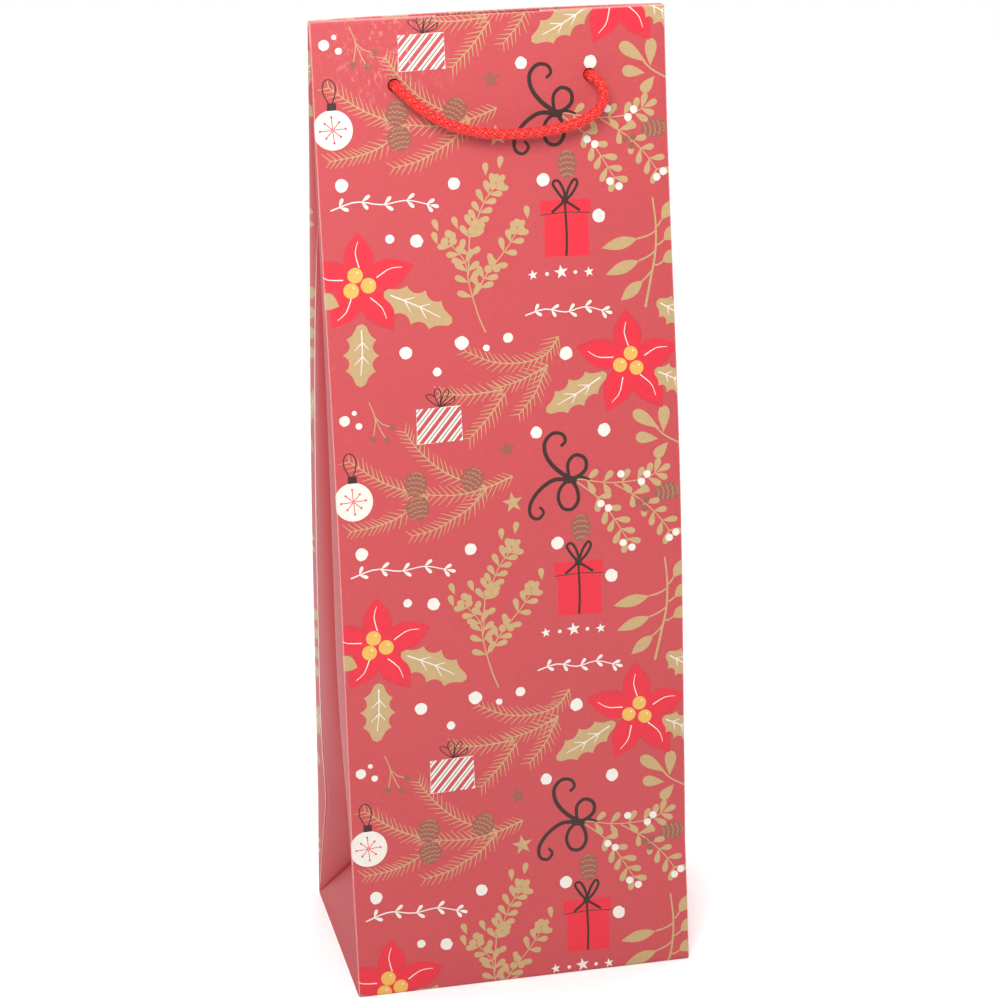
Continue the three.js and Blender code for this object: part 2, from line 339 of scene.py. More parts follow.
def flower(centre, tips, width):
    """A poinsettia: broad pointed petals over a deeper layer, a white vein in each, berries."""
    centre = np.asarray(centre, float)
    for tip in tips:
        tip = np.asarray(tip, float)
        swing = heading(90) * 0.9 if tip[0] < centre[0] else heading(-90) * 0.9
        leaf("deep_red", centre, tip + (tip - centre) * 0.05 + swing, width * 1.18, 0.95, 12)
    for tip in tips:
        leaf("red", centre, np.asarray(tip, float), width, 1.0, 12)
    for tip in tips:
        out = np.asarray(tip, float) - centre
        bend = np.array([-out[1], out[0]]) * 0.06
        stroke("white", [centre + out * 0.32, centre + out * 0.6 + bend, centre + out * 0.82], 0.42, 0.2)


# %% [markdown]
# Now one repeat is laid out. All places are in millimetres across from the sheet's left edge
# and up from its bottom edge, and the pattern repeats up the sheet. Where a greeting stood
# between the motifs there are plain ornaments: scattered dots, small stars and a twig.

# %% Pine twigs and cones
for twig in (
    [(62, 224.5), (49, 223.7), (39.5, 224.8)],
    [(79, 232), (69, 227.5), (60, 225.3)],
    [(62.8, 223.1), (56.5, 215), (49.4, 208.1)],
    [(78, 231), (74, 222.5), (67.8, 215.3)],
    [(83.3, 242), (78.3, 235.9), (68.9, 233.7), (58.9, 234.8), (49.4, 239.2)],
    [(64.4, 192.9), (55.6, 189.8), (44.4, 187.8), (33.3, 188.7), (25.6, 190.3)],
    [(29, 189.2), (16.7, 194.8), (5.6, 202.9)],
    [(54, 190), (44.4, 193.7), (36.7, 198.7), (30, 205.9), (26, 212)],
    [(54.4, 189.2), (48.9, 183.1), (42.2, 179.2), (35.6, 175.9), (27.2, 174.2)],
    [(33, 188), (22.2, 181.4), (14.4, 178.9), (5, 177.6)],
):
    pine(twig)
cone((29.1, 193.3), 8.3, 9.4, 80)
cone((29.3, 184.4), 8.6, 8.8, 100)
cone((49.7, 193.3), 8.2, 9.2, 60)
cone((89.1, 172.2), 7.2, 10.5, 90)
cone((122, 182.6), 7.2, 9.4, 5)
print(len(pattern), "shapes after the pine twigs")

# %% Leafy sprays and berries
spray([(56.9, 114.2), (54.4, 120.9), (51.7, 132), (50.6, 139.8), (45.5, 146.5)], 6, 5.2, 2.3,
      0.40, end_leaf=False)
spray([(51.7, 135), (52.8, 148.7), (55.6, 154.2), (58.9, 160.9), (62.9, 165.6)], 8, 5.0, 2.2)
spray([(54.4, 128.1), (57.8, 134.2), (65.6, 143.1), (69.8, 149)], 6, 5.0, 2.2)
for place in ((45.2, 148.2), (55.1, 151.4), (63.3, 166.8), (70, 150.6), (60.4, 137.5)):
    berries("tan", place, 1.45)
for place in ((41.6, 151), (41, 146.5), (48.6, 151.5), (59.6, 169.6), (64.4, 171.6), (74, 153.5)):
    leaf("tan", place, np.array(place) + heading(70 + 6 * (place[0] % 7)) * 4.6, 2.2, drop=True)
spray([(78, 190), (87.8, 190), (100, 187.6), (112.2, 187.8), (118, 190)], 6, 5.6, 2.4, 0.35)
spray([(88, 189), (96.7, 181.4), (102.2, 173.1), (106.7, 165.3)], 5, 5.6, 2.4, 0.3, end_leaf=False)
spray([(102, 187), (111, 180.9), (117.8, 174.2), (122.6, 167.4)], 5, 5.4, 2.3, 0.25, end_leaf=False)
for place in ((114.4, 189.6), (112.2, 187), (96.8, 180.1), (99.6, 178.2), (104.7, 164.8), (108, 162.8),
              (122.2, 165.2), (124.7, 167), (104.6, 190.4)):
    disc("white", place, 1.4, 12)
for place in ((110.9, 179.3), (113.8, 180.1), (113.1, 176.9)):
    disc("brown", place, 1.35, 12)
for base, tip, size in (((119.5, 206), (110, 213), 4.6), ((121, 204.5), (121.6, 214.2), 4.4),
                        ((119, 202.2), (110.6, 203.6), 4.2), ((122.6, 200.8), (117.6, 195.6), 4.0)):
    leaf("tan", base, tip, size, points=12, drop=True)
stroke("tan", [(117.5, 207.6), (121.4, 203.4), (127.6, 199.8)], 0.6)
stroke("tan", [(120.3, 158), (121.1, 148.7), (120.6, 138.7), (118.4, 129), (116, 119)], 0.6, 0.9)
for base, tip, size in (((120.9, 146), (100.6, 141.2), 4.4), ((120.6, 139), (101.8, 131.6), 4.4),
                        ((119.6, 133), (107, 122), 4.4), ((121, 147.5), (128.5, 157), 4.4),
                        ((120.8, 141), (130, 147.6), 4.6), ((119.8, 134), (129.6, 138.4), 4.6)):
    foot = np.array(base) + (np.array(tip) - base) * 0.34 + (0, -0.7)
    stroke("tan", [base, np.array(base) * 0.6 + foot * 0.4 + (0, -0.5), foot], 0.6)
    leaf("tan", foot, tip, size, 0.92, 12)
stroke("tan", [(13.6, 223.7), (15.6, 217.6), (14.4, 210.3)], 0.35)
stroke("tan", [(15.6, 217.6), (17.6, 212.8), (19.4, 209.6)], 0.35)
stroke("tan", [(15.2, 218.6), (18, 215.6), (21.8, 214.2)], 0.35)
for place in ((14.4, 210.3), (19.4, 209.6), (21.8, 214.2)):
    disc("brown", place, 1.25, 12)
print(len(pattern), "shapes after the sprays")

# %% Flowers, holly and stars
flower((12.8, 134.2), [(12.9, 152.5), (31.5, 140.5), (23.5, 118.8), (2.4, 119.4), (-5.5, 139.8)], 9.4)
for place in ((11.3, 137.4), (9.6, 132.1), (15.8, 133.6)):
    disc("yellow", place, 2.75, 18)
    disc("white", np.array(place) + (0.9, 1.0), 0.35, 8)
flower((109.4, 231.4), [(108.3, 248.7), (126.7, 236.4), (120.6, 215.3), (100.6, 213.7),
                        (90.6, 237)], 9.4)
for place in ((109.8, 234.2), (105.7, 230.2), (111.8, 228.8)):
    disc("yellow", place, 2.6, 18)
    disc("white", np.array(place) + (0.9, 1.0), 0.35, 8)
holly((21.1, 130.9), (45, 118.6), 13.2)
holly((12.6, 120.3), (11, 98), 13)
holly((100.6, 227.6), (77.8, 215.3), 11.4)
holly((118.6, 227.4), (132, 220), 11)
holly((120.4, 121), (133, 112), 11)
leaf("tan", (-3, 130.8), (5, 127), 6)


def star(centre, radius, colour):
    """A five-pointed star: ten points, by turns on an outer and an inner circle."""
    a = np.radians(97 + 36 * np.arange(10))
    r = radius * np.where(np.arange(10) % 2, 0.4, 1.0)
    ink(colour, np.column_stack([centre[0] + r * np.cos(a), centre[1] + r * np.sin(a)]))


star((62.8, 202.9), 3.7, "brown")
star((64.1, 183.3), 4.0, "tan")

# %% Ornaments where the greetings stood, and the dots
for x, y, r in ((4.6, 217.6, 1.9), (9.6, 215.4, 1.2), (8.2, 220.2, 0.9)):
    disc("white", (x, y), r, 14, 0.05)
spray([(4, 160.4), (13, 163), (22, 161.6), (31, 162.6), (39, 160.6)], 5, 3.4, 1.3, 0.1, 42,
      ink_name="white")
for x, y, r in ((75, 133.4, 1.9), (85.4, 133.8, 2.6), (95.6, 133.2, 1.9)):
    star((x, y), r, "white")
for x in (80.2, 90.6):
    disc("white", (x, 133.4), 0.7, 10)
spray([(71.6, 119.2), (79, 121), (86.4, 119.4), (93.6, 120.8), (100.6, 118.8)], 5, 3.2, 1.2, 0.12,
      42, ink_name="white")
for x, y, r in ((73.8, 208.1, 2.2), (98.9, 207.1, 2.4), (8.3, 168.9, 2.3), (48, 167.4, 2.2),
                (80.2, 166.8, 2.3), (24.3, 149.4, 1.6), (33.7, 148.1, 2.3), (100, 152.8, 2.4),
                (48, 111.1, 2.5), (27.8, 108.9, 2.3), (64.9, 111.7, 1.8), (56.9, 108.7, 1.2),
                (85.9, 104.6, 2.4), (38.7, 101.4, 1.6)):
    disc("white", (x, y), r, 14, 0.07)


# %% [markdown]
# The presents, the bauble and the ribbon are strokes and straight-edged shapes. The striped
# present's stripes are cut to its box, so that no ink hangs over its edge.

# %% Presents, bauble and ribbon
def clipped_band(low, high, offset, width, slope):
    """A slanting stripe inside a box: where two lines of one slope cut the box's outline."""
    corners = np.array([[low[0], low[1]], [high[0], low[1]], [high[0], high[1]], [low[0], high[1]]])
    for keep_above, limit in ((True, offset), (False, offset + width)):
        height = corners[:, 1] - slope * corners[:, 0] - limit
        inside = height >= 0 if keep_above else height <= 0
        kept = []
        for i in range(len(corners)):
            j = (i + 1) % len(corners)
            if inside[i]:
                kept.append(corners[i])
            if inside[i] != inside[j]:
                share = height[i] / (height[i] - height[j])
                kept.append(corners[i] + (corners[j] - corners[i]) * share)
        if len(kept) < 3:
            return None
        corners = np.array(kept)
    return corners


box_low, box_high = (30.4, 207.4), (46.6, 219.9)
ink("white", [(30.2, 207.2), (46.8, 207.6), (46.6, 220.2), (30.4, 219.8)])
for k in range(7):
    offset = box_low[1] - 1.15 * box_high[0] + 1.5 + 4.9 * k
    stripe = clipped_band(box_low, box_high, offset, 2.1, 1.15)
    thread = clipped_band(box_low, box_high, offset + 3.3, 0.4, 1.15)
    for colour, shape in (("ground", stripe), ("dark", thread)):
        if shape is not None:
            ink(colour, shape)
for loop in ([(39, 220), (35.4, 222.6), (34.2, 224.6), (36.8, 224.4), (39, 220.2)],
             [(39, 220), (37.2, 224.6), (38, 226.8), (39.6, 225), (39, 220.2)],
             [(39, 220), (40.6, 225), (42.4, 226.2), (42, 223.8), (39, 220.2)],
             [(39, 220), (42.4, 222), (44.6, 223.6), (43.6, 221.4), (39, 220.2)]):
    stroke("dark", loop, 0.4, spacing=1.0)

ink("red", [(79.8, 139.4), (96.2, 139), (96.0, 154.4), (80, 154.4)])
ink("red", [(78.6, 154.8), (97.2, 154.8), (97, 159.2), (78.9, 159.4)])
stroke("dark", [(87.6, 139.4), (88, 147), (87.8, 159)], 0.85)
stroke("dark", [(78.8, 154.4), (88, 154.8), (97.1, 154.3)], 0.32)
for loop in ([(87.8, 158.8), (85, 162.6), (83.6, 165.4), (85.6, 166.2), (87.6, 162.4), (87.8, 158.8)],
             [(87.8, 158.8), (89.4, 163.4), (91.6, 166.4), (92.6, 164.8), (90.6, 161.4), (87.8, 158.8)],
             [(87.6, 158.8), (85.4, 157), (82.8, 155)], [(88, 158.8), (90.4, 157.2), (93.2, 155.2)]):
    stroke("dark", loop, 1.0, spacing=1.2)
disc("dark", (87.8, 158.9), 1.3, 12)

disc("white", (6.3, 188.3), 7.0, 30)
for k in range(8):
    ray = heading(45 * k + 4)
    reach = 4.5 if k % 2 == 0 else 3.6
    stroke("red", [np.array([6.3, 188.3]) + ray * 0.2, np.array([6.3, 188.3]) + ray * reach], 0.3)
    disc("red", np.array([6.3, 188.3]) + ray * reach, 0.42, 8)
ink("dark", [(4.6, 195), (7.9, 195.1), (7.8, 197.7), (4.7, 197.6)])
stroke("dark", [(5.2, 197.6), (3.4, 201.6), (3.9, 205), (6, 205.8), (7.8, 203.6), (7.6, 200.4),
                (6.6, 197.6)], 0.42, spacing=1.2)

for curl, start_width, end_width in (
    ([(85.4, 190.4), (80.6, 194.2), (77.2, 199), (76.7, 204), (79.6, 207.2), (83.2, 206.8),
      (84.4, 204.2), (82.6, 202.4)], 1.7, 1.1),
    ([(85.4, 190), (88.6, 190.8), (91.6, 193.4), (91.4, 197.2), (88, 198.8), (85.2, 196.4),
      (85, 192.6), (85.6, 190.2)], 1.5, 1.2),
    ([(85.4, 190), (82.2, 187.4), (81, 183.4), (82.6, 179.6), (86, 179), (88.4, 182),
      (88, 186.4), (85.8, 190)], 1.2, 1.4),
    ([(85, 190), (79.4, 190.2), (74, 186.8), (70.6, 182), (70.6, 177.8), (73.4, 176.4),
      (75.4, 178.6), (74, 180.8)], 1.6, 1.0),
    ([(86, 190), (89.4, 190.6), (93, 189.4)], 1.4, 0.8),
):
    stroke("dark", curl, start_width, end_width, 1.1)
ink("dark", [(83, 188.6), (88, 188.4), (88.4, 191), (83.4, 191.4)])
print(len(pattern), "shapes in one repeat")

# %% [markdown]
# ## From outlines to faces
# A constrained Delaunay triangulation takes the outline of the sheet, its holes, its folds and
# every printed shape, and cuts one flat net of triangles that follows them all. The topmost
# shape over a triangle gives it its ink. Then the sheet's formula folds the net in space.
# The alternative, one grid with a colour per vertex, would leave every printed edge ragged.


# %% Cut a flat net along the print
def repeats(low, high):
    """The shapes of the pattern that reach between two heights, moved to each repeat."""
    found = []
    for k in range(-2, 4):
        for colour, outline in pattern:
            moved = outline + (0, k * REPEAT)
            if moved[:, 1].max() > low and moved[:, 1].min() < high:
                found.append((colour, moved))
    return found


def flat_net(corners, holes, rows, columns, shapes, spacing):
    """Triangles of a flat sheet: (points, triangles, ink of each). corners is its rectangle,
    holes are cut out, rows and columns are straight lines that the net follows, and a plain
    grid of points fills what is left and divides those lines, so that the net can bend."""
    (x0, y0), (x1, y1) = corners
    points, faces, edges = [], [], []

    def face(outline):
        first = sum(len(p) for p in points)
        points.append(outline)
        faces.append(list(range(first, first + len(outline))))

    face(np.array([(x0, y0), (x1, y0), (x1, y1), (x0, y1)]))
    for colour, outline in shapes:
        face(outline)
    a = np.linspace(0, 2 * np.pi, 28, endpoint=False)
    for centre in holes:
        face(np.column_stack([centre[0] + HOLE / 2 * np.cos(a), centre[1] + HOLE / 2 * np.sin(a)]))
    for line in [((x0, y), (x1, y)) for y in rows] + [((x, y0), (x, y1)) for x in columns]:
        first = sum(len(p) for p in points)
        points.append(np.array(line))
        edges.append((first, first + 1))
    across, along = np.arange(x0 + spacing / 2, x1, spacing), np.arange(y0 + spacing / 2, y1, spacing)
    for gx, gy in ((across, along), ([x0, *columns, x1], along), (across, [y0, *rows, y1])):
        gx, gy = np.meshgrid(gx, gy)
        points.append(np.column_stack([gx.ravel(), gy.ravel()]))
    cloud = [Vector(p) for p in np.vstack(points)]
    made = delaunay_2d_cdt(cloud, edges, faces, 1, 1e-4, True)
    flat = np.array([tuple(p) for p in made[0]])
    first_hole = len(shapes) + 1
    inks = [0] + [colour for colour, _ in shapes]
    keep = [0 in over and max(over) < first_hole for over in made[5]]
    triangles = np.array([t for t, k in zip(made[2], keep) if k])
    colours = np.array([inks[max(over)] for over, k in zip(made[5], keep) if k])
    used, triangles = np.unique(triangles, return_inverse=True)
    return flat[used], triangles.reshape(-1, 3), colours


# %% [markdown]
# The net is a skin without thickness. A plain net of the same sheet, one paper thickness
# deeper and facing the other way, is its unprinted reverse, and a band of faces closes the cut
# edge between them. Both come from one formula, so they stay parallel round every fold.


# %% Build a sheet that has two faces and a cut edge
def mesh_from(name, points, faces, inks, flat, materials):
    """A mesh object from points in mm, faces, an ink for each, and flat places in mm as UV."""
    mesh = bpy.data.meshes.new(name)
    mesh.from_pydata((points * MM).tolist(), [], faces)
    mesh.polygons.foreach_set("material_index", np.asarray(inks, np.int32))
    mesh.polygons.foreach_set("use_smooth", np.ones(len(mesh.polygons), bool))
    corner = np.zeros(len(mesh.loops), np.int32)
    mesh.loops.foreach_get("vertex_index", corner)
    uv = mesh.uv_layers.new(name="flat")
    uv.uv.foreach_set("vector", (flat[corner] * MM).astype(np.float32).ravel())
    for material in materials:
        mesh.materials.append(material)
    mesh.set_sharp_from_angle(angle=math.radians(50))
    mesh.update()
    thing = bpy.data.objects.new(name, mesh)
    bpy.context.collection.objects.link(thing)
    return thing


def two_faced(name, place, corners, holes, rows, columns, shapes, materials, thickness=PAPER,
              spacing=5.0):
    """A sheet of a given thickness. place(u, s, depth) puts its flat points in space. The
    printed skin is the cut net, the reverse is a plain net, and the rim joins their edges."""
    flat, skin, inks = flat_net(corners, holes, rows, columns, shapes, spacing)
    plain, back, _ = flat_net(corners, holes, rows, columns, [], spacing)
    count = len(flat)
    upper = place(plain[:, 0], plain[:, 1], 0.0)
    lower = place(plain[:, 0], plain[:, 1], thickness)
    sides = np.vstack([back[:, [0, 1]], back[:, [1, 2]], back[:, [2, 0]]])
    codes = sides[:, 0] * len(plain) + sides[:, 1]
    open_sides = sides[~np.isin(codes, sides[:, 1] * len(plain) + sides[:, 0])]
    a, b = open_sides.T
    low = count + len(plain)
    rim = np.column_stack([count + a, low + a, low + b, count + b])
    points = np.vstack([place(flat[:, 0], flat[:, 1], 0.0), upper, lower])
    faces = skin.tolist() + (low + back[:, ::-1]).tolist() + rim.tolist()
    reverse = len(materials) - 1
    colours = np.concatenate([inks, np.full(len(back) + len(rim), reverse)])
    thing = mesh_from(name, points, faces, colours, np.vstack([flat, plain, plain]), materials)
    print(f"{name}: {len(skin)} printed triangles, {len(faces)} faces")
    return thing


# %% [markdown]
# ## Paper, card and cord as materials
# The sheet is machine-coated art paper, printed and matt-laminated: an even colour with a soft
# sheen. Close up it has a faint mottle of ink, fine fibres that show as the slightest bump,
# and pale lines along the folds, partly cracks in the coating and partly a painted highlight.
# All of these follow the sheet, so they read its flat places (the UV map) or Object coordinates.

# %% Helpers for materials
def linear(code, alpha=1.0):
    """An sRGB hex colour as linear red, green and blue."""
    s = np.array([int(code[i:i + 2], 16) for i in (1, 3, 5)]) / 255
    return (*np.where(s <= 0.04045, s / 12.92, ((s + 0.055) / 1.055) ** 2.4), alpha)


def add(tree, kind, inputs=None, **settings):
    """Adds a node, with its settings, and sets or links each of its inputs."""
    made = tree.nodes.new(kind)
    for name, value in settings.items():
        setattr(made, name, value)
    for name, value in (inputs or {}).items():
        if isinstance(value, bpy.types.NodeSocket):
            tree.links.new(value, made.inputs[name])
        else:
            made.inputs[name].default_value = value
    return made


def surface(name, roughness, **settings):
    """A material with one principled shader. Returns it with its node tree and shader."""
    material = bpy.data.materials.new(name)
    material.use_nodes = True
    tree = material.node_tree
    shader = tree.nodes["Principled BSDF"]
    shader.inputs["Roughness"].default_value = roughness
    for key, value in settings.items():
        shader.inputs[key.replace("_", " ")].default_value = value
    return material, tree, shader


# %% Printed art paper
PER_METRE = 1 / MM


def near(tree, value, centre, reach):
    """1 where a coordinate in metres is at a line, falling to 0 at a distance from it."""
    away = add(tree, "ShaderNodeMath", {0: value, 1: centre * MM}, operation="SUBTRACT")
    away = add(tree, "ShaderNodeMath", {0: away.outputs[0]}, operation="ABSOLUTE")
    return add(tree, "ShaderNodeMapRange", {"Value": away.outputs[0], "From Min": 0.0,
               "From Max": reach * MM, "To Min": 1.0, "To Max": 0.0}).outputs[0]


def art_paper(name, code, pale="#F6B9B4"):
    """Coated paper in one ink: mottle of 1.5 mm, pale lines along the folds that are partly cracks
    in the coating and partly a painted highlight, light scuffs by the top corner, and a fibre bump of 0.35
    mm."""
    material, tree, shader = surface(name, 0.46, IOR=1.5, Specular_IOR_Level=0.28)
    place = add(tree, "ShaderNodeTexCoord").outputs["Object"]
    flat = add(tree, "ShaderNodeUVMap", uv_map="flat").outputs[0]
    split = add(tree, "ShaderNodeSeparateXYZ", {0: flat})
    u, s = split.outputs[0], split.outputs[1]
    mottle = add(tree, "ShaderNodeTexNoise", {"Vector": place, "Scale": PER_METRE / 1.5, "Detail": 3.0})
    drift = add(tree, "ShaderNodeTexNoise", {"Vector": place, "Scale": PER_METRE / 60, "Detail": 1.0})
    shade = add(tree, "ShaderNodeMapRange", {"Value": mottle.outputs["Fac"], "From Min": 0.3,
                "From Max": 0.7, "To Min": 0.965, "To Max": 1.035})
    tone = add(tree, "ShaderNodeMapRange", {"Value": drift.outputs["Fac"], "From Min": 0.3,
               "From Max": 0.7, "To Min": 0.985, "To Max": 1.015})
    both = add(tree, "ShaderNodeMath", {0: shade.outputs[0], 1: tone.outputs[0]}, operation="MULTIPLY")
    inked = add(tree, "ShaderNodeHueSaturation", {"Color": linear(code), "Value": both.outputs[0]})
    from_middle = add(tree, "ShaderNodeMath", {0: u, 1: HALF * MM}, operation="SUBTRACT")
    from_middle = add(tree, "ShaderNodeMath", {0: from_middle.outputs[0]}, operation="ABSOLUTE").outputs[0]
    # Pale lines along the side and top folds: partly cracks in the coating, partly a painted highlight on
    # the fold.
    fold_wear_and_painted_highlight = add(tree, "ShaderNodeMath", {0: near(tree, from_middle, HALF - 0.12, 0.42),
                1: near(tree, s, HEIGHT + 0.35, 0.8)}, operation="MAXIMUM").outputs[0]
    grain = add(tree, "ShaderNodeTexNoise", {"Vector": place, "Scale": PER_METRE / 0.8, "Detail": 4.0})
    cracks_and_painted_highlight = add(tree, "ShaderNodeMath", {0: fold_wear_and_painted_highlight, 1: grain.outputs["Fac"]}, operation="MULTIPLY")
    streak = add(tree, "ShaderNodeMapping", {"Vector": place, "Rotation": (0.0, 0.5, 0.0),
                 "Scale": (PER_METRE / 1.5, PER_METRE / 1.5, PER_METRE / 2.6)})
    rubbed = add(tree, "ShaderNodeTexNoise", {"Vector": streak.outputs[0], "Scale": 1.0, "Detail": 6.0,
                 "Roughness": 0.7})
    rubbed = add(tree, "ShaderNodeMapRange", {"Value": rubbed.outputs["Fac"], "From Min": 0.53,
                 "From Max": 0.8})
    where = add(tree, "ShaderNodeMath", {0: near(tree, u, 26, 26), 1: near(tree, s, 344, 22)},
                operation="MULTIPLY")
    scuff = add(tree, "ShaderNodeMath", {0: rubbed.outputs[0], 1: where.outputs[0]}, operation="MULTIPLY")
    wear_and_painted_highlight = add(tree, "ShaderNodeMath", {0: cracks_and_painted_highlight.outputs[0], 1: scuff.outputs[0]}, operation="ADD",
               use_clamp=True)
    colour = add(tree, "ShaderNodeMixRGB", {"Fac": wear_and_painted_highlight.outputs[0], "Color1": inked.outputs[0],
                 "Color2": linear(pale)})
    tree.links.new(colour.outputs[0], shader.inputs["Base Color"])
    gloss = add(tree, "ShaderNodeMapRange", {"Value": mottle.outputs["Fac"], "To Min": 0.42, "To Max": 0.52})
    tree.links.new(gloss.outputs[0], shader.inputs["Roughness"])
    fibre = add(tree, "ShaderNodeTexNoise", {"Vector": place, "Scale": PER_METRE / 0.35, "Detail": 3.0})
    bump = add(tree, "ShaderNodeBump", {"Height": fibre.outputs["Fac"], "Strength": 0.10,
               "Distance": 0.05 * MM})
    tree.links.new(bump.outputs[0], shader.inputs["Normal"])
    return material


ink_colours = {"ground": "#B5474B", "tan": "#B1946A", "white": "#D6D1C8", "brown": "#8F5348",
               "dark": "#3A2623", "deep_red": "#C0333F", "red": "#D02C3B", "yellow": "#D4A452"}
paper_reverse, tree, shader = surface("uncoated_paper_reverse", 0.85, IOR=1.5)
place = add(tree, "ShaderNodeTexCoord").outputs["Object"]
fibres = add(tree, "ShaderNodeTexNoise", {"Vector": place, "Scale": PER_METRE / 0.5, "Detail": 4.0})
ramp = add(tree, "ShaderNodeValToRGB", {"Fac": fibres.outputs["Fac"]})
ramp.color_ramp.elements[0].color, ramp.color_ramp.elements[1].color = linear("#E9E3D8"), linear("#F7F3EB")
tree.links.new(ramp.outputs[0], shader.inputs["Base Color"])
bump = add(tree, "ShaderNodeBump", {"Height": fibres.outputs["Fac"], "Strength": 0.2, "Distance": 0.06 * MM})
tree.links.new(bump.outputs[0], shader.inputs["Normal"])
print_inks = [art_paper("art_paper_" + name, code) for name, code in ink_colours.items()]
print_inks.append(paper_reverse)
# The sides' plain red is darker than the printed ground: painted shade for sides that face away from the
# light. The dust flaps use it too.
plain_red_painted_shade = art_paper("art_paper_plain_red_painted_shade", "#B0393F")
plain_inks = [plain_red_painted_shade, paper_reverse]
print("inks:", [m.name for m in print_inks])


# %% [markdown]
# Two boards stiffen the bag: a grey recycled strip inside each turned-in top, and a white-lined
# board on the bottom. Recycled board is never one colour: it shows flecks and short fibres.

# %% Board
def board(name, light, dark, fleck):
    """Recycled board: two tones in clouds of 4 mm, dark flecks of 0.8 mm, matt, with fibres."""
    material, tree, shader = surface(name, 0.88, IOR=1.5)
    place = add(tree, "ShaderNodeTexCoord").outputs["Object"]
    clouds = add(tree, "ShaderNodeTexNoise", {"Vector": place, "Scale": PER_METRE / 4, "Detail": 5.0})
    ramp = add(tree, "ShaderNodeValToRGB", {"Fac": clouds.outputs["Fac"]})
    ramp.color_ramp.elements[0].color, ramp.color_ramp.elements[1].color = linear(dark), linear(light)
    flecks = add(tree, "ShaderNodeTexVoronoi", {"Vector": place, "Scale": PER_METRE / 0.8})
    spots = add(tree, "ShaderNodeMapRange", {"Value": flecks.outputs["Distance"], "From Min": 0.10,
                "From Max": 0.16, "To Min": 0.55, "To Max": 0.0})
    mixed = add(tree, "ShaderNodeMixRGB", {"Fac": spots.outputs[0], "Color1": ramp.outputs[0],
                "Color2": linear(fleck)})
    tree.links.new(mixed.outputs[0], shader.inputs["Base Color"])
    bump = add(tree, "ShaderNodeBump", {"Height": clouds.outputs["Fac"], "Strength": 0.3,
               "Distance": 0.1 * MM})
    tree.links.new(bump.outputs[0], shader.inputs["Normal"])
    return material


grey_board = board("grey_recycled_board", "#C2B8A8", "#A69B8B", "#7C7266")
white_board = board("white_lined_board", "#EFEAE1", "#E0DACE", "#BDB4A6")


# %% [markdown]
# ## The printed sheets
# Front and back are one net each: up the outside, round the stiffened top and down inside as
# the hem, with holes punched through both layers. Each rides on its own wall.

# %% Front and back sheets
SCORE_WIDTH = 3.0


def fold_lines():
    """Straight lines that the net follows: rows round the folds and at the score line, and
    columns round the upright folds at the sides."""
    top = HEIGHT - FOLD
    rows = list(np.linspace(0, np.pi, 9) * FOLD + top)
    rows += [SCORE + side * SCORE_WIDTH / 2 for side in (-1, 0, 1)]
    rows += [BOTTOM_FOLD - BOTTOM_FOLD * a for a in np.linspace(0, np.pi / 2, 4)]
    round_fold = EDGE_FOLD * np.linspace(0, 1, 4)[:-1] * np.pi / 2
    columns = [HALF + side * (HALF - EDGE_FOLD + t) for side in (-1, 1) for t in round_fold]
    return rows, columns


fold_rows, fold_columns = fold_lines()
SHEET_END = HEIGHT - FOLD + np.pi * FOLD + HEM - FOLD
SHEET_START = -1.2
side_reach = EDGE_FOLD * (np.pi / 2 - 1)
sheet_corners = ((-side_reach, SHEET_START), (WIDTH + side_reach, SHEET_END))
hem_hole = 2 * (HEIGHT - FOLD) + np.pi * FOLD - HOLE_UP
sheet_holes = [(HALF + side * HOLE_ACROSS, s) for side in (-1, 1) for s in (HOLE_UP, hem_hole)]
sheet_shapes = repeats(SHEET_START, SHEET_END)
WALLS = {"front": -1, "back": 1}
for wall, face in WALLS.items():
    sheet = two_faced(wall + "_printed_sheet", lambda u, s, d, f=face: sheet_point(u, s, d, f),
                      sheet_corners, sheet_holes, fold_rows, fold_columns, sheet_shapes, print_inks)
    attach(sheet, wall + "_wall")
    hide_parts(wall + "_panel", wall + "_hem")

# %% [markdown]
# The strip of board inside each top is glued to the sheet, so it takes the same bend. It is
# the same kind of two-faced net, with no print, one paper thickness in.

# %% Top boards
card_top = HEIGHT - FOLD - 0.1
card_corners = ((CARD_MARGIN, card_top - CARD_HEIGHT), (WIDTH - CARD_MARGIN, card_top))
card_holes = [(HALF + side * HOLE_ACROSS, HOLE_UP) for side in (-1, 1)]
for wall, face in WALLS.items():
    card = two_faced(wall + "_top_board",
                     lambda u, v, d, f=face: wall_point(u - HALF, v, PAPER + 0.04 + d, f),
                     card_corners, card_holes, [], [], [], [grey_board, grey_board], CARD)
    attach(card, wall + "_wall")
    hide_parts(wall + "_top_card")

# %% [markdown]
# ## The gussets
# Each side folds inwards in the middle. Cut level, half a side runs back from the wall's edge
# and then turns in to the centre crease, so it is drawn as a quarter of a superellipse, whose
# exponent grows from a slack curve at the score line to a tight fold at the top. The half
# keeps half the bag's depth as its length at every height, which fixes how deep it reaches.
# Below the score line two slanting creases run to the bottom corners round a flat triangle.

# %% Work out one half side
HALF_SIDE = DEPTH / 2
BEND_FOLD = 0.33    # radius of the fold over the top of a side
side_rows = np.concatenate([np.linspace(0.5, SCORE, 14), np.linspace(SCORE, HEIGHT, 66)[1:]])
side_columns = np.linspace(0, 1, 41)


def cut_through(reach, width, exponent, count=240):
    """A quarter superellipse for each height: inwards by 1 less a power of the cosine, back
    by a power of the sine, both powers being 2 over the exponent."""
    t = np.linspace(0, np.pi / 2, count)
    power = 2 / exponent[:, None]
    inwards = reach[:, None] * (1 - np.clip(np.cos(t), 0, 1) ** power)
    back = width[:, None] * np.sin(t) ** power
    return inwards, back


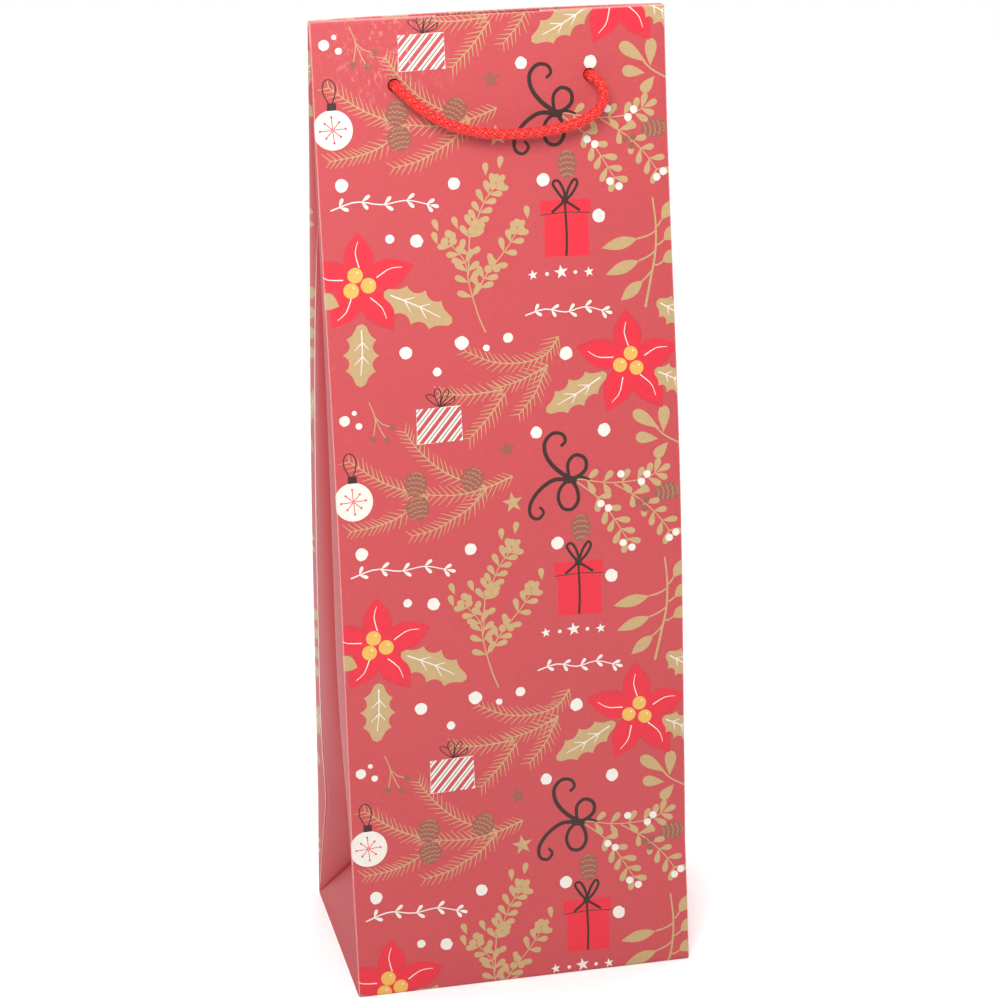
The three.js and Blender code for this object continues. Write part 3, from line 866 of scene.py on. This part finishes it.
def reach_for(width, exponent):
    """How far in each cut reaches when its length is half the depth: found by halving."""
    low, high = np.zeros_like(width), np.full_like(width, HALF_SIDE)
    for _ in range(30):
        middle = (low + high) / 2
        inwards, back = cut_through(middle, width, exponent)
        length = np.hypot(np.diff(inwards, axis=1), np.diff(back, axis=1)).sum(axis=1)
        low, high = np.where(length < HALF_SIDE, middle, low), np.where(length < HALF_SIDE, high, middle)
    return low


edge = wall_point(-HALF, side_rows, EDGE_FOLD)
half_gap = -edge[:, 1]
exponent = 1.5 + 2.6 * smooth((side_rows - SCORE) / 90) + 2.0 * smooth((side_rows - 250) / 90)
reach = reach_for(half_gap, exponent)
at_score = np.searchsorted(side_rows, SCORE)
rise_share = np.clip((edge[:, 2] - FOOT) / (edge[at_score, 2] - FOOT), 0, 1)
foot_half = -wall_point(-HALF, 0.0, EDGE_FOLD)[1]
flat_half = foot_half * (1 - rise_share)
reach = np.where(side_rows < SCORE, reach[at_score] * rise_share, reach)
inwards, back = cut_through(reach, half_gap - flat_half, exponent)
so_far = np.cumsum(np.hypot(np.diff(inwards, axis=1), np.diff(back, axis=1)), axis=1)
so_far = np.column_stack([np.zeros(len(so_far)), so_far])
even = [(np.interp(side_columns * s[-1], s, i), np.interp(side_columns * s[-1], s, b))
        for s, i, b in zip(so_far, inwards, back)]
inwards, back = (np.array(x) for x in zip(*even))
side_net = np.stack([-HALF + inwards, edge[:, 1:2] + back,
                     np.broadcast_to(edge[:, 2:], inwards.shape)], axis=-1)
into_bag = np.cross(np.gradient(side_net, axis=1), np.gradient(side_net, axis=0))
into_bag /= np.linalg.norm(into_bag, axis=-1, keepdims=True) + 1e-12
turning = smooth((side_columns - 0.94) / 0.06)[None, :, None] * (side_rows > SCORE)[:, None, None]
into_bag = into_bag * (1 - turning) + np.array([1.0, 0.0, 0.0]) * turning
into_bag /= np.linalg.norm(into_bag, axis=-1, keepdims=True)
print("reach of the gusset in mm at score, middle, top:",
      np.round(reach[[at_score, len(reach) // 2, -1]], 1))


def side_point(q, v, depth, side=-1, wall=-1):
    """Points in mm of a side: q from 0 at the wall's edge to 1 at the centre crease, v up,
    depth below the skin. They are read between the worked out net's points, on the front left,
    and mirrored for the other corners."""
    q, v, depth = np.broadcast_arrays(*(np.asarray(a, float) for a in (q, v, depth)))
    row = np.clip(np.searchsorted(side_rows, v) - 1, 0, len(side_rows) - 2)
    column = np.clip((q * (len(side_columns) - 1)).astype(int), 0, len(side_columns) - 2)
    fr = ((v - side_rows[row]) / (side_rows[row + 1] - side_rows[row]))[..., None]
    fc = (q * (len(side_columns) - 1) - column)[..., None]
    mixed = [(a[row, column] * (1 - fc) + a[row, column + 1] * fc) * (1 - fr)
             + (a[row + 1, column] * (1 - fc) + a[row + 1, column + 1] * fc) * fr
             for a in (side_net, into_bag)]
    return (mixed[0] + mixed[1] * depth[..., None]) * (-side, -wall, 1)


# %% [markdown]
# A half side is a grid of those points: up to the top, over, and down inside as its own hem.
# It joins a bottom triangle along the slanting crease. Solidify then gives it its thickness,
# and the result is kept as plain mesh.

# %% Build the four half sides
SEAM = 8.5          # width of the strip that is glued over one of them
UNDER_SEAM = 0.35   # how far that one lies under its strip
HEM_SHORTFALL = 1.0  # the sides' hems end this much above the front's


def quads(rows, columns, flip, first=0):
    """Faces of a grid of rows by columns of points, turned over if flip is set."""
    i = np.arange(rows - 1)[:, None] * columns + np.arange(columns - 1) + first
    faces = np.stack([i, i + columns, i + columns + 1, i + 1], axis=-1).reshape(-1, 4)
    return faces[:, ::-1] if flip else faces


def settle(thing, angle=40):
    """Keeps what the modifiers make as the mesh itself, with sharp edges above an angle."""
    evaluated = thing.evaluated_get(bpy.context.evaluated_depsgraph_get())
    mesh = bpy.data.meshes.new_from_object(evaluated)
    thing.modifiers.clear()
    thing.data = mesh
    mesh.set_sharp_from_angle(angle=math.radians(angle))
    return thing


def half_side(name, side, wall, seam_over=False):
    """A half side with its hem and its half of the bottom triangle, 0.3 mm thick."""
    top = HEIGHT - BEND_FOLD
    over = np.linspace(0, np.pi, 7)
    v = np.concatenate([side_rows[side_rows < top], top + BEND_FOLD * np.sin(over),
                        np.linspace(top, HEIGHT - HEM + HEM_SHORTFALL, 12)[1:]])
    length = np.concatenate([side_rows[side_rows < top], top + BEND_FOLD * over,
                             top + BEND_FOLD * np.pi
                             + np.linspace(0, HEM - HEM_SHORTFALL - BEND_FOLD, 12)[1:]])
    depth = np.concatenate([np.zeros((side_rows < top).sum()), BEND_FOLD * (1 - np.cos(over)),
                            np.full(11, 2 * BEND_FOLD)])
    if seam_over:
        under = UNDER_SEAM * (1 - smooth((side_columns * HALF_SIDE - SEAM - 1) / 2.5))
    else:
        under = np.zeros_like(side_columns)
    grid = side_point(side_columns[None, :], v[:, None], depth[:, None] + under[None, :], side, wall)
    flat = np.stack(np.broadcast_arrays(side_columns[None, :] * HALF_SIDE + WIDTH + 2,
                                        length[:, None]), -1)
    low = side_rows[side_rows <= SCORE]
    crease = side_point(1.0, low, 0.0, side, wall)
    crease = np.vstack([np.array([[-side * -HALF, -wall * -foot_half, FOOT]]), crease])
    middle = crease * (1, 0, 1)
    w = np.linspace(0, 1, 9)[None, :, None]
    triangle = crease[:, None] * (1 - w) + middle[:, None] * w
    triangle_flat = np.stack(np.broadcast_arrays(
        np.abs(triangle[..., 1]) + 2 * WIDTH, np.concatenate([[0], low])[:, None]), -1)
    points = np.vstack([grid.reshape(-1, 3), triangle.reshape(-1, 3)])
    uv = np.vstack([flat.reshape(-1, 2), triangle_flat.reshape(-1, 2)])
    flip = side * wall < 0
    faces = np.vstack([quads(*grid.shape[:2], flip), quads(*triangle.shape[:2], flip,
                                                             grid.shape[0] * grid.shape[1])])
    thing = mesh_from(name, points, faces.tolist(), np.zeros(len(faces)), uv, plain_inks)
    shell = thing.modifiers.new("thickness", "SOLIDIFY")
    shell.thickness, shell.offset = PAPER * MM, -1.0
    shell.material_offset = shell.material_offset_rim = 1
    settle(thing)
    print(f"{name}: {len(thing.data.polygons)} faces")
    return thing


edge_low, edge_high = wall_point(-HALF, np.array([0.0, HEIGHT]), 0.0)


def bend_across(thing):
    """Moves a piece's placement into its mesh points, so that it has no transform of its own.
    The piece is not bent between the base and its wall."""
    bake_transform(thing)


for wall_name, wall in WALLS.items():
    for hand, side in (("left", -1), ("right", 1)):
        seam_over = (wall_name, hand) == ("back", "left")
        half = half_side(f"{wall_name}_{hand}_half_side", side, wall, seam_over)
        bend_across(half)
        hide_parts(f"{wall_name}_{hand}_gusset", *([hand + "_side"] if wall < 0 else []))

# %% [markdown]
# ## The glued seam
# The back sheet runs on round its left edge as a narrow strip that is glued over the gusset.
# It carries the print that falls there: leaf tips and a holly leaf, cut off by its edge.

# %% Seam strip
held = len(pattern)
for v in (98.5, 106.5, 114.5, 122.5):
    leaf("tan", (WIDTH - 3, v), (WIDTH + 10.5, v + 4.5), 4.8)
leaf("tan", (WIDTH - 4, 150.5), (WIDTH + 7, 152), 2.4)
leaf("tan", (WIDTH - 4, 155.5), (WIDTH + 6, 156.5), 2.6)
holly((WIDTH - 6, 203), (WIDTH + 12, 218), 13)
leaf("tan", (WIDTH - 2, 196), (WIDTH + 5, 192), 4.6)
seam_motifs = pattern[held:]
del pattern[held:]
seam_shapes = []
for k in range(-2, 3):
    seam_shapes += [(colour, outline + (0, k * REPEAT)) for colour, outline in seam_motifs]
seam = two_faced("glued_seam_strip",
                 lambda u, s, d: side_point((u - WIDTH) / HALF_SIDE, s, d, -1, 1),
                 ((WIDTH, 1.0), (WIDTH + SEAM, HEIGHT - 0.5)), [], [SCORE], [], seam_shapes, print_inks,
                 spacing=2.5)
bend_across(seam)
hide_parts("glue_seam")

# %% [markdown]
# ## The block bottom
# Seen from below, the front's flap lies outermost and the back's flap under it. Both are the
# same printed sheet, so their print runs on from the walls. The sides' flaps and the board
# above them keep the frame's own plain solids, which are already right.

# %% Bottom flaps
MARGIN = 1.5            # from the bag's outside to the flaps
OUTER_SHORTFALL = 14.0  # the outer flap ends this far before the other wall
FLAPS = {"bottom_outer_flap": (DEPTH - 2 * MARGIN - OUTER_SHORTFALL, 0.0, -1),
         "bottom_inner_flap": (52.0, 0.7, 1)}    # length, height and side of each
for name, (length, height, face) in FLAPS.items():
    def flap_point(u, s, d, f=face, z=height):
        """Points in mm of a bottom flap: level, with its print down."""
        u, s, d = np.broadcast_arrays(u, s, d)
        return np.stack([-f * (u - HALF), f * (DEPTH / 2 + s), z + d], axis=-1)

    flap = two_faced(name + "_sheet", flap_point, ((MARGIN, -MARGIN - length), (WIDTH - MARGIN, -MARGIN)),
                     [], [], [], repeats(-MARGIN - length, -MARGIN), print_inks)
    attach(flap, "base")
    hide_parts(name)
# The dust flaps take the plain red with its painted shade, and the base card the white board.
for name, material, slot in (("left_dust_flap", plain_red_painted_shade, "plain_red_paper"),
                             ("right_dust_flap", plain_red_painted_shade, "plain_red_paper"),
                             ("base_card", white_board, "base_card")):
    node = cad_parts[name]
    node.data.materials.clear()
    node.data.materials.append(material)

# %% [markdown]
# ## The handles
# Each handle is a bright red braided polypropylene cord. It hangs in a short loop outside,
# enters two punched holes, and each end runs down inside to a knot. Eight carriers, each with
# two yarns, wind round the core, half of them each way, passing over and under by turns, which
# gives the V-shaped stitches. Every yarn is a thin tube along a waving helix.

# %% A braid along a line
STITCH = 13.0         # length of one full turn of a carrier, in mm
CARRIERS = 4          # carriers that wind each way
BRAID = 1.36          # middle radius of the braid
WAVE = 0.28           # how far a yarn rises and dips as it goes over and under
YARN = (0.43, 0.40)   # half width and half height of a yarn
YARN_ANGLE = 0.33     # angle from a carrier's middle to each of its two yarns
END_TAPER = 0.8       # length over which the yarns close at a cut end
FIBRE_SPREAD = 3 / 6.3  # mm of fibre pattern for each radian round a yarn


def along_line(points, step):
    """The smooth line through the given points, in equal steps of about the given length."""
    rough = through(points, 60 * len(points))
    run = np.concatenate([[0], np.cumsum(np.linalg.norm(np.diff(rough, axis=0), axis=1))])
    even_run = np.linspace(0, run[-1], max(int(run[-1] / step), 4) + 1)
    return np.column_stack([np.interp(even_run, run, rough[:, k]) for k in range(3)]), even_run


def steady_frames(line):
    """Two unit vectors across a line at each point, carried along it with no twist."""
    tangent = np.gradient(line, axis=0)
    tangent /= np.linalg.norm(tangent, axis=1)[:, None]
    first = np.cross(tangent[0], [0.3, 0.9, 0.1])
    first_sides = [first / np.linalg.norm(first)]
    for t in tangent[1:]:
        moved = first_sides[-1] - t * (first_sides[-1] @ t)
        first_sides.append(moved / np.linalg.norm(moved))
    first_sides = np.array(first_sides)
    return first_sides, np.cross(tangent, first_sides)


def braided_cord(name, points, material, step=0.42, yarn_sides=6):
    """Sixteen yarns round a line, and a core under them in a dark red that is painted shade between
    the yarns. A yarn's middle is at an angle that grows with the way along, one way for half the
    carriers and the other way for the rest, and at a radius that waves four times a turn, so that it goes
    over one and under the next."""
    line, run = along_line(points, step)
    a_side, b_side = steady_frames(line)
    ring = np.linspace(0, 2 * np.pi, yarn_sides, endpoint=False)
    all_points, all_faces, all_flat = [], [], []
    taper = np.sqrt(np.clip(np.minimum(run, run[-1] - run) / END_TAPER, 0.02, 1))[:, None]

    def tube(centre, out, beside, wide, high, around=ring):
        """A tube whose section is an ellipse: wide beside, high outwards."""
        shape = (centre[:, None] + beside[:, None] * (wide * np.cos(around))[None, :, None]
                 + out[:, None] * (high * np.sin(around))[None, :, None])
        shape = line[:, None] + (shape - line[:, None]) * taper[:, None]
        first = sum(len(p) for p in all_points)
        count = len(around)
        i = np.arange(len(line) - 1)[:, None] * count
        j = np.arange(count)
        body = np.stack([i + j, i + (j + 1) % count, i + count + (j + 1) % count, i + count + j], -1)
        all_points.append(shape.reshape(-1, 3))
        all_faces.extend((body.reshape(-1, 4) + first).tolist())
        all_faces.append([first + int(x) for x in j[::-1]])
        all_faces.append([first + (len(line) - 1) * count + int(x) for x in j])
        flat = np.stack(np.broadcast_arrays(run[:, None], around * FIBRE_SPREAD), -1)
        all_flat.append(flat.reshape(-1, 2))

    core = np.linspace(0, 2 * np.pi, 10, endpoint=False)
    tube(line, a_side, b_side, BRAID - 0.1, BRAID - 0.1, core)
    turns = 2 * np.pi * run / STITCH
    for way in (-1, 1):
        for carrier in range(CARRIERS):
            for yarn in (-1, 1):
                start = carrier * 2 * np.pi / CARRIERS
                angle = (way * (turns + start) + yarn * YARN_ANGLE)[:, None]
                radius = BRAID + way * WAVE * np.cos(CARRIERS * turns)[:, None]
                out = a_side * np.cos(angle) + b_side * np.sin(angle)
                centre = line + out * radius
                onward = np.gradient(centre, axis=0)
                beside = np.cross(onward, out)
                beside /= np.linalg.norm(beside, axis=1)[:, None]
                tube(centre, out, beside, *YARN)
    skin = np.vstack(all_points)
    core_faces = len(core) * (len(line) - 1) + 2
    # Core faces take the second material, the dark red of painted shade.
    thing = mesh_from(name, skin, all_faces, np.arange(len(all_faces)) < core_faces,
                      np.vstack(all_flat), [material, cord_core_painted_shade])
    mesh = thing.data
    shape = bmesh.new()
    shape.from_mesh(mesh)
    bmesh.ops.recalc_face_normals(shape, faces=shape.faces)
    shape.to_mesh(mesh)
    shape.free()
    return thing, line, run[-1]


# %% Polypropylene yarn
# The core is dark red: painted shade in the gaps between the yarns.
cord_core_painted_shade, tree, shader = surface("polypropylene_cord_core_painted_shade", 0.8, IOR=1.49)
shader.inputs["Base Color"].default_value = linear("#7A0F0E")
cord_material, tree, shader = surface("braided_polypropylene", 0.42, IOR=1.49)
shader.inputs["Sheen Weight"].default_value = 0.25
shader.inputs["Sheen Roughness"].default_value = 0.4
shader.inputs["Sheen Tint"].default_value = linear("#FF8A80")
shader.inputs["Subsurface Weight"].default_value = 0.12
shader.inputs["Subsurface Radius"].default_value = (0.0012, 0.0003, 0.0002)
flat = add(tree, "ShaderNodeUVMap", uv_map="flat").outputs[0]
fibre = add(tree, "ShaderNodeMapping", {"Vector": flat, "Scale": (PER_METRE / 2.5, PER_METRE / 0.16, 1.0)})
fibre = add(tree, "ShaderNodeTexNoise", {"Vector": fibre.outputs[0], "Scale": 1.0, "Detail": 2.0})
ramp = add(tree, "ShaderNodeValToRGB", {"Fac": fibre.outputs["Fac"]})
ramp.color_ramp.elements[0].position, ramp.color_ramp.elements[1].position = 0.3, 0.7
ramp.color_ramp.elements[0].color, ramp.color_ramp.elements[1].color = linear("#C01715"), linear("#E2342C")
tree.links.new(ramp.outputs[0], shader.inputs["Base Color"])
bump = add(tree, "ShaderNodeBump", {"Height": fibre.outputs["Fac"], "Strength": 0.5, "Distance": 0.08 * MM})
tree.links.new(bump.outputs[0], shader.inputs["Normal"])

# %% [markdown]
# A cord's route is given as points: straight out of its hole for a cord's width, then down and
# across under its own weight. The points are across, into the bag (+) or out of it (-), and up
# from the middle of the line between the holes. The loop leans a little to one side, because
# one end was pulled through further than the other.

# %% The routes
LOOP = [
    [-35.0, 0.3, 0.0], [-35.0, -1.2, 0.0],
    [-34.6, -2.3, -0.5], [-31.0, -3.4, -4.4], [-26.8, -4.6, -8.2], [-21.6, -5.5, -11.8],
    [-15.6, -6.1, -14.8], [-8.4, -6.4, -17.0], [-0.5, -6.6, -18.2], [7.5, -6.7, -18.5],
    [15.4, -6.9, -18.2], [23.0, -7.2, -17.2], [29.8, -7.6, -15.3], [35.0, -7.8, -12.2],
    [37.6, -7.6, -8.4], [38.0, -6.4, -4.9], [36.8, -4.2, -1.9], [35.0, -2.3, -0.2],
    [35.0, -1.2, 0.0], [35.0, 0.3, 0.0],
]
TAILS = {
    -1: [
        [-35.0, 0.2, 0.0], [-35.0, 1.2, 0.0], [-34.9, 2.4, -0.2], [-34.4, 4.2, -2.0],
        [-33.6, 4.8, -5.0], [-31.2, 5.3, -11.0], [-27.2, 6.4, -21.0], [-23.8, 7.6, -31.0],
        [-22.2, 8.3, -41.0], [-21.6, 8.7, -52.0], [-21.2, 9.0, -62.0], [-21.0, 9.4, -70.0],
    ],
    1: [
        [35.0, 0.2, 0.0], [35.0, 1.2, 0.0], [34.9, 2.4, -0.2], [34.4, 4.2, -2.0],
        [33.6, 4.8, -5.0], [31.0, 5.3, -11.0], [27.0, 6.4, -21.0], [23.8, 7.6, -31.0],
        [22.4, 8.3, -41.0], [22.0, 8.8, -54.0], [21.8, 9.4, -68.0], [21.6, 10.2, -84.0],
    ],
}
KNOT_LINE = [
    [0.0, 0.0, 6.2], [0.2, 0.3, 3.4], [1.0, 0.2, 0.4], [0.9, -1.0, -2.8], [-1.6, -2.4, -4.0],
    [-3.6, -0.4, -3.0], [-2.8, 2.6, -1.0], [0.6, 3.7, 0.8], [3.5, 1.6, 2.0], [3.1, -1.8, 2.4],
    [0.2, -3.6, 2.0], [-2.8, -2.2, 1.6], [-2.4, 0.4, 0.2], [-0.8, 1.2, -2.4], [0.0, 0.4, -5.4],
    [0.1, 0.0, -9.0], [0.3, 0.0, -13.4],
]


def in_wall(points, wall):
    """Points in mm from a handle's own across, into, up, on the flat leaning wall."""
    x, n, high = np.asarray(points, float).T
    v = HOLE_UP + high
    y = -DEPTH / 2 + v * math.sin(LEAN) + n * math.cos(LEAN)
    z = FOOT + v * math.cos(LEAN) - n * math.sin(LEAN)
    return np.column_stack([-wall * x, -wall * y, z])


# %% Make the handles
for wall_name, wall in WALLS.items():
    body, swinging = wall_name + "_wall", wall_name + "_handle"
    loop, line, length = braided_cord(f"{swinging}_cord_loop", in_wall(LOOP, wall), cord_material)
    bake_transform(loop)
    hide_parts(f"{swinging}_loop")
    print(f"{loop.name}: {length:.0f} mm, {len(loop.data.polygons)} faces")
    for side, points in TAILS.items():
        hand = "left" if side * -wall < 0 else "right"
        tail, line, length = braided_cord(f"{swinging}_cord_{hand}_tail", in_wall(points, wall),
                                          cord_material)
        knot_middle = line[-1] - (0, 0, 6.3)
        knot, _, knot_length = braided_cord(f"{swinging}_{hand}_overhand_knot",
                                            np.array(KNOT_LINE) * (side, -wall, 1) + knot_middle,
                                            cord_material)
        for piece, node in ((tail, "tail"), (knot, "knot")):
            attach(piece, body)
            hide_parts(f"{swinging}_{hand}_{node}")
        print(f"{tail.name}: {length:.0f} mm and {knot_length:.0f} mm in its knot and end")

# %% [markdown]
# ## Floor and light
# A pale floor under a soft, even studio: a white dome that is brighter behind and on the right,
# which leaves the left side darker, and a small soft light near the top in front, because the top of
# the front is the brightest part of it.

# %% Floor, world and lights
scene = bpy.context.scene
scene.view_settings.view_transform = "Standard"
world = bpy.data.worlds.new("studio")
world.use_nodes = True
tree = world.node_tree
background = tree.nodes["Background"]
background.inputs["Color"].default_value = (1.0, 1.0, 1.0, 1.0)
direction = add(tree, "ShaderNodeTexCoord").outputs["Generated"]
slant = add(tree, "ShaderNodeVectorMath", {0: direction, 1: (0.26, 0.80, 0.0)}, operation="DOT_PRODUCT")
tree.links.new(add(tree, "ShaderNodeMath", {0: slant.outputs["Value"], 1: 0.99}).outputs[0],
               background.inputs["Strength"])
scene.world = world

floor_half = 6.0
floor_mesh = bpy.data.meshes.new("floor")
floor_mesh.from_pydata([(-floor_half, -floor_half, 0), (floor_half, -floor_half, 0),
                        (floor_half, floor_half, 0), (-floor_half, floor_half, 0)], [], [(0, 1, 2, 3)])
floor = bpy.data.objects.new("floor", floor_mesh)
bpy.context.collection.objects.link(floor)
floor_material, tree, shader = surface("pale_floor", 0.9)
shader.inputs["Base Color"].default_value = linear("#FDFDFC")
floor_mesh.materials.append(floor_material)


def soft_light(name, place, target, size, power):
    """A square area light at a place, turned to a target, in metres and watts."""
    data = bpy.data.lights.new(name, "AREA")
    data.shape, data.size, data.energy = "SQUARE", size, power
    light = bpy.data.objects.new(name, data)
    light.location = place
    light.rotation_euler = (Vector(target) - Vector(place)).to_track_quat("-Z", "Y").to_euler()
    light.visible_camera = False
    bpy.context.collection.objects.link(light)


soft_light("key", (-0.16, -0.50, 0.66), (-0.02, 0, 0.31), 0.3, 4.4)
